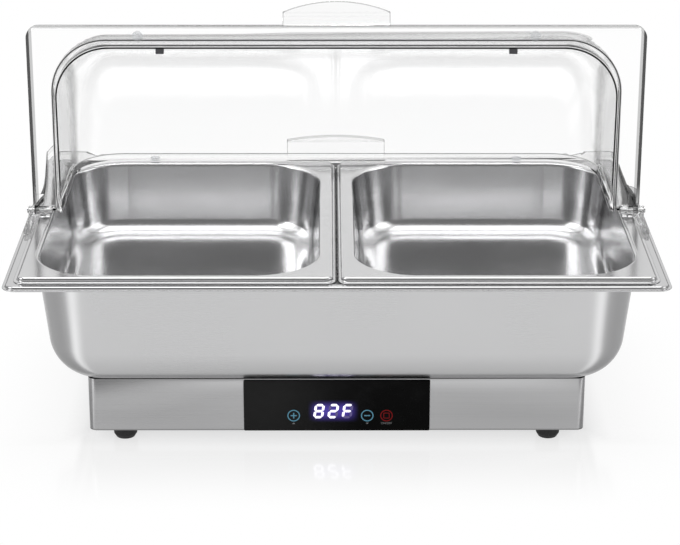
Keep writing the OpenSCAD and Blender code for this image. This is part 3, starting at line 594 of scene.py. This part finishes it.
def plate_piece(name, outlines, thickness, finish, place):
    """Flat marks: each outline is a list of (u, v) points, or an outer and an inner list, in millimetres."""
    shape = bmesh.new()
    for outline in outlines:
        rings = outline if isinstance(outline[0][0], (tuple, list)) else [outline]
        loops = [[shape.verts.new(place(u, v, 0.0)) for u, v in ring] for ring in rings]
        tops = [[shape.verts.new(place(u, v, thickness)) for u, v in ring] for ring in rings]
        for low, high in zip(loops, tops):
            for i in range(len(low)):
                j = (i + 1) % len(low)
                shape.faces.new((low[i], low[j], high[j], high[i]))
        if len(rings) == 1:
            shape.faces.new(tops[0])
            shape.faces.new(list(reversed(loops[0])))
        else:
            for outer, inner in (tops, loops):
                for i in range(len(outer)):
                    j = (i + 1) % len(outer)
                    shape.faces.new((outer[i], outer[j], inner[j], inner[i]))
    bmesh.ops.recalc_face_normals(shape, faces=shape.faces)
    mesh = bpy.data.meshes.new(name)
    shape.to_mesh(mesh)
    shape.free()
    return link_piece(name, mesh, finish, "dish")


# ---------------------------------------------------------------- eased solids

eased_copy("base_shell", "satin_steel", "dish", 0.5 * MM)
eased_copy("control_panel", "panel_black", "dish", 0.3 * MM)
for side in ("left", "right"):
    eased_copy("hinge_bracket_" + side, "lid_clear", "lid_rear_half", 0.4 * MM)
eased_copy("rear_lid", "rear_lid_clear", "lid_rear_half", 0.6 * MM, steps=3)
eased_copy("front_lid", "front_lid_clear", "lid_front_half", 0.6 * MM, steps=3)


# ---------------------------------------------------------------- screws

HEAD_R, HEAD_H, SHANK_R, RECESS_L = 2.8 * MM, 1.4 * MM, 1.5 * MM, 3.2 * MM
CROWN_SHARE, RECESS_SHARE = 0.74, 0.24
SCREW_INPUTS = (
    ("Places", "Geometry"), ("Facing", "Vector"), ("Head Radius", "Float"), ("Head Height", "Float"),
    ("Shank Radius", "Float"), ("Length", "Float"), ("Recess", "Float"), ("Seed", "Int"),
    ("Finish", "Material"))


def make_screw_tree():
    """Pan-head screws with a cross recess, one at each point, each turned by an angle of its own."""
    tree = bpy.data.node_groups.new("cross_recess_screws", "GeometryNodeTree")
    for label, kind in SCREW_INPUTS:
        tree.interface.new_socket(label, in_out="INPUT", socket_type="NodeSocket" + kind)
    tree.interface.new_socket("Screws", in_out="OUTPUT", socket_type="NodeSocketGeometry")
    given = tree.nodes.new("NodeGroupInput").outputs

    def moved(mesh, by):
        return put(tree, "GeometryNodeTransform", {"Geometry": mesh, "Translation": by}).outputs[0]

    head = put(tree, "GeometryNodeMeshCone", {
        "Vertices": 40, "Radius Top": times(tree, given["Head Radius"], CROWN_SHARE),
        "Radius Bottom": given["Head Radius"], "Depth": given["Head Height"]}).outputs["Mesh"]
    width = times(tree, given["Recess"], RECESS_SHARE)
    top = put(tree, "ShaderNodeCombineXYZ", {2: given["Head Height"]}).outputs[0]
    slots = put(tree, "GeometryNodeJoinGeometry")
    for along in (0, 1):
        size = put(tree, "ShaderNodeCombineXYZ", {
            along: given["Recess"], 1 - along: width, 2: given["Head Height"]}).outputs[0]
        slot = put(tree, "GeometryNodeMeshCube", {"Size": size}).outputs["Mesh"]
        tree.links.new(moved(slot, top), slots.inputs[0])
    recessed = put(tree, "GeometryNodeMeshBoolean", {"Mesh 1": head, "Mesh 2": slots.outputs[0]},
                   operation="DIFFERENCE").outputs["Mesh"]
    drop = put(tree, "ShaderNodeCombineXYZ", {2: times(tree, given["Length"], -0.5)}).outputs[0]
    shank = put(tree, "GeometryNodeMeshCylinder", {
        "Vertices": 24, "Radius": given["Shank Radius"], "Depth": given["Length"]}).outputs["Mesh"]
    whole = put(tree, "GeometryNodeJoinGeometry")
    tree.links.new(moved(shank, drop), whole.inputs[0])
    tree.links.new(recessed, whole.inputs[0])
    turn = put(tree, "FunctionNodeRandomValue", {"Seed": given["Seed"]}, data_type="FLOAT").outputs[1]
    spin = put(tree, "FunctionNodeAxisAngleToRotation", {
        "Axis": (0.0, 0.0, 1.0), "Angle": times(tree, turn, math.pi)}).outputs[0]
    facing = put(tree, "FunctionNodeAlignRotationToVector", {"Vector": given["Facing"]}, axis="Z").outputs[0]
    turned = put(tree, "FunctionNodeRotateRotation", {"Rotation": facing, "Rotate By": spin},
                 rotation_space="LOCAL").outputs[0]
    set_out = put(tree, "GeometryNodeInstanceOnPoints", {
        "Points": given["Places"], "Instance": whole.outputs[0], "Rotation": turned}).outputs[0]
    real = put(tree, "GeometryNodeRealizeInstances", {"Geometry": set_out}).outputs[0]
    done = put(tree, "GeometryNodeSetMaterial", {"Geometry": real, "Material": given["Finish"]}).outputs[0]
    tree.links.new(done, tree.nodes.new("NodeGroupOutput").inputs[0])
    return tree


def solid_boxes(mesh):
    """Lowest and highest corner of each separate solid in a mesh."""
    shape = bmesh.new()
    shape.from_mesh(mesh)
    bmesh.ops.remove_doubles(shape, verts=shape.verts, dist=WELD)
    left, boxes = set(shape.verts), []
    while left:
        todo, found = [left.pop()], []
        while todo:
            vert = todo.pop()
            found.append(vert.co.copy())
            for edge in vert.link_edges:
                other = edge.other_vert(vert)
                if other in left:
                    left.remove(other)
                    todo.append(other)
        boxes.append([Vector(pick(c[i] for c in found) for i in range(3)) for pick in (min, max)])
    shape.free()
    return sorted(boxes, key=lambda box: tuple(round(c, 6) for c in box[0]))


def cross_screws(node, facing, seed):
    """Screws with a cross recess in the places of a node's plain ones."""
    out = Vector(facing)
    axis = max(range(3), key=lambda i: abs(out[i]))
    places, length = [], 0.0
    for low, high in solid_boxes(nodes[node].data):
        seat = (low + high) / 2
        seat[axis] = (high if out[axis] > 0 else low)[axis] - out[axis] * HEAD_H
        places.append(seat)
        length = high[axis] - low[axis] - HEAD_H
    mesh = bpy.data.meshes.new(node + "_cross")
    mesh.from_pydata(places, [], [])
    piece = link_piece(node + "_cross", mesh, "fastener_steel", "dish", (node,))
    setter = piece.modifiers.new("screws", "NODES")
    setter.node_group = SCREWS
    values = {"Facing": facing, "Head Radius": HEAD_R, "Head Height": HEAD_H, "Shank Radius": SHANK_R,
              "Length": length, "Recess": RECESS_L, "Seed": seed, "Finish": FINISH["fastener_steel"]}
    for socket in SCREWS.interface.items_tree:
        if socket.in_out == "INPUT" and socket.name in values:
            setter[socket.identifier] = values[socket.name]
    applied(piece)


SCREWS = make_screw_tree()
cross_screws("bottom_screws", (0.0, 0.0, -1.0), 3)
cross_screws("foot_screws", (0.0, 0.0, -1.0), 5)
cross_screws("inlet_screws", (0.0, 1.0, 0.0), 8)


# ---------------------------------------------------------------- marks on the touch panel

PANEL_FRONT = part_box("control_panel")[0].y
# places on the panel, and how far the marks stand out from it, in millimetres
KEY_Z, NOTE_Z = 24.3, 17.1
KEYS = {"more": -36.9, "less": 26.1, "power": 42.6}
MARK_T, WORD_T, GLOW_T, UNLIT_T, LIT_T = 0.06, 0.03, 0.03, 0.05, 0.07
RING_OUTER, RING_INNER = 5.4, 4.5
SIGN_L, SIGN_W, ARM_L, ARM_AT, WORD_H = 5.2, 1.0, 2.1, 1.55, 2.6
# half width and corner radius of the power sign, outside and inside
SQUARE_OUTER, SQUARE_INNER = (2.7, 0.9), (2.0, 0.4)
ARROW_HALF, ARROW_FOOT, ARROW_TIP = 1.3, 0.6, 0.8


def on_panel(x, z):
    """Maps millimetres right and up from a point on the panel to the panel's front face."""
    return lambda u, v, out: Vector(((x + u) * MM, PANEL_FRONT - out * MM, (z + v) * MM))


def round_outline(radius, count=48):
    angles = [2 * math.pi * i / count for i in range(count)]
    return [(radius * math.cos(a), radius * math.sin(a)) for a in angles]


def bar_outline(long, wide, angle=0.0, at=(0.0, 0.0)):
    c, s = math.cos(angle), math.sin(angle)
    u, v = long / 2, wide / 2
    corners = [(-u, -v), (u, -v), (u, v), (-u, v)]
    return [(at[0] + u * c - v * s, at[1] + u * s + v * c) for u, v in corners]


def rounded_square(half, radius, steps=5):
    points, flat = [], half - radius
    for k, (sx, sy) in enumerate(((1, 1), (-1, 1), (-1, -1), (1, -1))):
        for i in range(steps + 1):
            a = math.pi / 2 * (k + i / steps)
            points.append((sx * flat + radius * math.cos(a), sy * flat + radius * math.sin(a)))
    return points


def key_mark(name, sign, finish):
    """A key's ring with a sign in it."""
    ring = [round_outline(RING_OUTER), round_outline(RING_INNER)]
    place = on_panel(KEYS[name], KEY_Z)
    plate_piece(name + "_key_mark", [ring] + sign, MARK_T, finish, place)


MINUS = bar_outline(SIGN_L, SIGN_W)
PLUS_ARMS = [bar_outline(ARM_L, SIGN_W, math.pi / 2, (0.0, v)) for v in (ARM_AT, -ARM_AT)]
key_mark("more", [MINUS] + PLUS_ARMS, "mark_blue")
key_mark("less", [MINUS], "mark_blue")
key_mark("power", [[rounded_square(*SQUARE_OUTER), rounded_square(*SQUARE_INNER)]], "mark_red")
for key, up in (("more", 1.0), ("less", -1.0)):
    arrow = [(-ARROW_HALF, -ARROW_FOOT * up), (ARROW_HALF, -ARROW_FOOT * up), (0.0, ARROW_TIP * up)]
    plate_piece(key + "_arrow_mark", [arrow], MARK_T, "mark_grey", on_panel(KEYS[key], NOTE_Z))


def power_words():
    """The words under the power key."""
    words = bpy.data.curves.new("power_key_words", "FONT")
    words.body = "ON/OFF"
    words.size = WORD_H * MM
    words.align_x = words.align_y = "CENTER"
    words.extrude = WORD_T * MM
    holder = bpy.data.objects.new("power_key_words", words)
    scene.collection.objects.link(holder)
    mesh = bpy.data.meshes.new_from_object(holder.evaluated_get(bpy.context.evaluated_depsgraph_get()))
    mesh.transform(Matrix.Translation(on_panel(KEYS["power"], NOTE_Z)(0.0, 0.0, WORD_T))
                   @ Matrix.Rotation(math.radians(90), 4, "X"))
    bpy.data.objects.remove(holder)
    link_piece("power_key_words", mesh, "mark_grey", "dish")


power_words()

# the display's reading, as slanted seven-segment figures
DIGIT_W, DIGIT_H, DIGIT_PITCH, STROKE, TIP_GAP = 6.5, 11.2, 12.2, 2.1, 0.25
SLANT = math.tan(math.radians(8.0))
# each segment's place in its figure, from -1 to 1, and whether it stands upright
SEGMENTS = {
    "a": (0, 1, 0), "b": (1, 0.5, 1), "c": (1, -0.5, 1), "d": (0, -1, 0),
    "e": (-1, -0.5, 1), "f": (-1, 0.5, 1), "g": (0, 0, 0),
}
FIGURES = ("abcdefg", "abged", "aefg")


def segment(x, key):
    """One segment as a long hexagon, leaning with its figure."""
    u, v, upright = SEGMENTS[key]
    half = (DIGIT_H / 4 if upright else DIGIT_W / 2) - TIP_GAP
    w = STROKE / 2
    hexagon = [(-half, 0), (-half + w, -w), (half - w, -w), (half, 0), (half - w, w), (-half + w, w)]
    if upright:
        hexagon = [(b, a) for a, b in hexagon]
    cu, cv = u * DIGIT_W / 2, v * DIGIT_H / 2
    return [(x + cu + a + (cv + b) * SLANT, cv + b) for a, b in hexagon]


lit, unlit = [], []
for i, figure in enumerate(FIGURES):
    for key in SEGMENTS:
        (lit if key in figure else unlit).append(segment((i - 1) * DIGIT_PITCH, key))
on_display = on_panel(DISPLAY_X, DISPLAY_Z)
glow_outline = bar_outline(2 * GLOW_X, 2 * GLOW_Z)
plate_piece("display_glow", [glow_outline], GLOW_T, "display_glow", on_display)
plate_piece("lit_segments", lit, LIT_T, "segment_lit", on_display)
plate_piece("unlit_segments", unlit, UNLIT_T, "segment_unlit", on_display)


# ---------------------------------------------------------------- room, lamps and camera

base_low, base_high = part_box("base_shell")
BASE_X, BASE_FRONT = (base_high.x - base_low.x) / 2, base_low.y
FLOOR_REACH = 8.0
TABLE_TONES, TABLE_MIRROR, MIRROR_ROUGH = (grey(0.90), grey(0.93)), grey(0.9), 0.10

# ramps on the table, each a range and its two values: the soft shadow before the dish and beside it, and the
# mirror image before it, by distance in metres; then the painted light that only the steel mirrors of the
# table, by angle from straight ahead in radians, and by distance
SHADE_FRONT, FADE_FRONT = (-0.028, 0.012, 0.58, 0.93), (0.012, 0.10, 0.0, 0.07)
SHADE_SIDE, FADE_SIDE = (0.0, 0.025, 0.58, 0.84), (0.025, 0.16, 0.0, 0.16)
WHITE_BACK = (-0.45, -0.30, 1.0, 0.0)
IMAGE_STARTS, IMAGE_ENDS = (-0.26, -0.14, 0.0, 0.12), (-0.118, -0.10, 1.0, 0.0)
IMAGE_SIDES = (0.02, 0.12, 1.0, 0.0)
STRIPE_STARTS, STRIPE_ENDS, STRIPE_LIGHT = (0.62, 0.96, 0.0, 1.0), (1.00, 1.22, 1.0, 0.0), 0.75
BOUNCE_FRONT, BOUNCE_BACK = (0.95, 1.35, 1.0, 0.45), (2.0, 2.7, 0.0, 0.9)
BOUNCE_NEAR, BOUNCE_SHARE = (0.0, 0.20, 0.84, 1.0), 0.75

# how bright the room is: as light on dull faces, and at least in mirror images; above and behind it is more
ROOM_FILL, ROOM_DIM = 0.62, 0.24
ROOM_BACK, ROOM_ABOVE = (0.15, 0.50, 0.0, 0.98), (0.12, 0.32, 0.0, 1.0)


def seen_plainly(tree, rays):
    return largest(tree, rays["Is Camera Ray"], rays["Is Transmission Ray"])


def white_table():
    """White table with a soft shadow round the dish, a faint mirror image before it, and painted light that
    only the steel mirrors.
    """
    finish, tree, skin = blank("white_table")
    place = coordinates(tree)
    cloud = noise(tree, place, 3.0)
    tree.links.new(blended(tree, cloud, *TABLE_TONES), skin.inputs["Base Color"])
    tree.links.new(spread(tree, cloud, 0.3, 0.7, 0.10, 0.16), skin.inputs["Roughness"])
    at = split(tree, place)
    out_x = excess(tree, size_of(tree, at["X"]), BASE_X)
    ahead = maths(tree, "SUBTRACT", BASE_FRONT, at["Y"])
    rays = put(tree, "ShaderNodeLightPath").outputs
    seen = seen_plainly(tree, rays)
    in_front = maths(tree, "ADD", spread(tree, ahead, *SHADE_FRONT), spread(tree, ahead, *FADE_FRONT))
    at_side = maths(tree, "ADD", spread(tree, out_x, *SHADE_SIDE), spread(tree, out_x, *FADE_SIDE))
    clean = largest(tree, in_front, at_side, spread(tree, ahead, *WHITE_BACK))
    surface = either(tree, times(tree, seen, clean), skin.outputs[0], emitted(tree, 1.0))
    image = times(tree, spread(tree, at["Y"], *IMAGE_STARTS, smooth=True), spread(tree, at["Y"], *IMAGE_ENDS),
                  spread(tree, out_x, *IMAGE_SIDES, smooth=True))
    mirror = put(tree, "ShaderNodeBsdfGlossy", {"Color": TABLE_MIRROR, "Roughness": MIRROR_ROUGH}).outputs[0]
    surface = either(tree, times(tree, rays["Is Camera Ray"], image), surface, mirror)
    # painted light that only the steel mirrors: the table glows bright in front and behind and dim at the
    # sides,
    # with a painted highlight stripe off each front corner, and darker near the dish
    round_it = maths(tree, "ARCTAN2", out_x, ahead)
    stripe = times(tree, spread(tree, round_it, *STRIPE_STARTS, smooth=True),
                   spread(tree, round_it, *STRIPE_ENDS, smooth=True), STRIPE_LIGHT)
    level = largest(tree, spread(tree, round_it, *BOUNCE_FRONT, smooth=True),
                    spread(tree, round_it, *BOUNCE_BACK, smooth=True))
    level = maths(tree, "ADD", times(tree, level, spread(tree, ahead, *BOUNCE_NEAR)), stripe)
    share = times(tree, rays["Is Glossy Ray"], excess(tree, BOUNCE_SHARE, seen))
    surface = either(tree, share, surface, emitted(tree, level))
    tree.links.new(surface, tree.nodes["Material Output"].inputs["Surface"])
    return finish


def make_floor():
    corners = [(x * FLOOR_REACH, y * FLOOR_REACH, 0.0) for x, y in ((-1, -1), (1, -1), (1, 1), (-1, 1))]
    mesh = bpy.data.meshes.new("floor")
    mesh.from_pydata(corners, [], [(0, 1, 2, 3)])
    mesh.materials.append(white_table())
    floor = bpy.data.objects.new("floor", mesh)
    scene.collection.objects.link(floor)


def make_room():
    """White where it is seen. In mirror images, white above and behind and dim elsewhere, so that bends in
    the steel read."""
    world = bpy.data.worlds.new("studio")
    scene.world = world
    world.use_nodes = True
    tree = world.node_tree
    tree.nodes.clear()
    ray = split(tree, coordinates(tree, "Generated"))
    rays = put(tree, "ShaderNodeLightPath").outputs
    behind = times(tree, spread(tree, ray["Y"], *ROOM_BACK, smooth=True),
                   spread(tree, ray["Z"], *ROOM_ABOVE, smooth=True))
    level = mixed(tree, rays["Is Glossy Ray"], ROOM_FILL, largest(tree, behind, ROOM_DIM))
    level = mixed(tree, seen_plainly(tree, rays), level, 1.0)
    sky = put(tree, "ShaderNodeBackground", {"Color": grey(1.0), "Strength": level}).outputs[0]
    tree.links.new(sky, put(tree, "ShaderNodeOutputWorld").inputs["Surface"])


def soft_lamp(name, place, aim, size, power):
    lamp = bpy.data.lights.new(name, "AREA")
    lamp.shape = "RECTANGLE"
    lamp.size, lamp.size_y = size
    lamp.energy = power
    thing = bpy.data.objects.new(name, lamp)
    thing.location = place
    thing.rotation_mode = "QUATERNION"
    thing.rotation_quaternion = (Vector(aim) - Vector(place)).to_track_quat("-Z", "Y")
    scene.collection.objects.link(thing)


# the camera that was fitted to the photograph: focal length and picture width in pixels, and where it stands
FOCAL_PX, WIDTH_PX, SENSOR = 2299.5, 680.0, 36.0
CAMERA_AT = (-0.00766, -1.92611, 0.82142)
PITCH, YAW, ROLL = math.radians(20.256), math.radians(0.325), math.radians(0.085)


def make_camera():
    data = bpy.data.cameras.new("camera")
    camera = bpy.data.objects.new("camera", data)
    scene.collection.objects.link(camera)
    data.sensor_fit = "HORIZONTAL"
    data.sensor_width = SENSOR
    data.lens = SENSOR * FOCAL_PX / WIDTH_PX
    data.clip_start, data.clip_end = 0.05, 60.0
    ahead = Vector((math.sin(YAW) * math.cos(PITCH), math.cos(YAW) * math.cos(PITCH), -math.sin(PITCH)))
    right = Vector((math.cos(YAW), -math.sin(YAW), 0.0))
    up = right.cross(ahead)
    c, s = math.cos(ROLL), math.sin(ROLL)
    right, up = c * right + s * up, c * up - s * right
    turn = Matrix((right, up, -ahead)).transposed().to_4x4()
    camera.matrix_world = Matrix.Translation(CAMERA_AT) @ turn
    scene.camera = camera


make_floor()
make_room()
soft_lamp("top_lamp", place=(0.0, 0.1, 1.9), aim=(0.0, 0.0, 0.1), size=(1.8, 1.4), power=24.0)
soft_lamp("left_lamp", place=(-1.5, -0.5, 1.2), aim=(0.0, 0.0, 0.15), size=(0.9, 1.2), power=9.0)
soft_lamp("right_lamp", place=(1.6, -0.4, 1.1), aim=(0.0, 0.0, 0.15), size=(0.9, 1.2), power=6.0)
make_camera()
scene.view_settings.view_transform = "Standard"
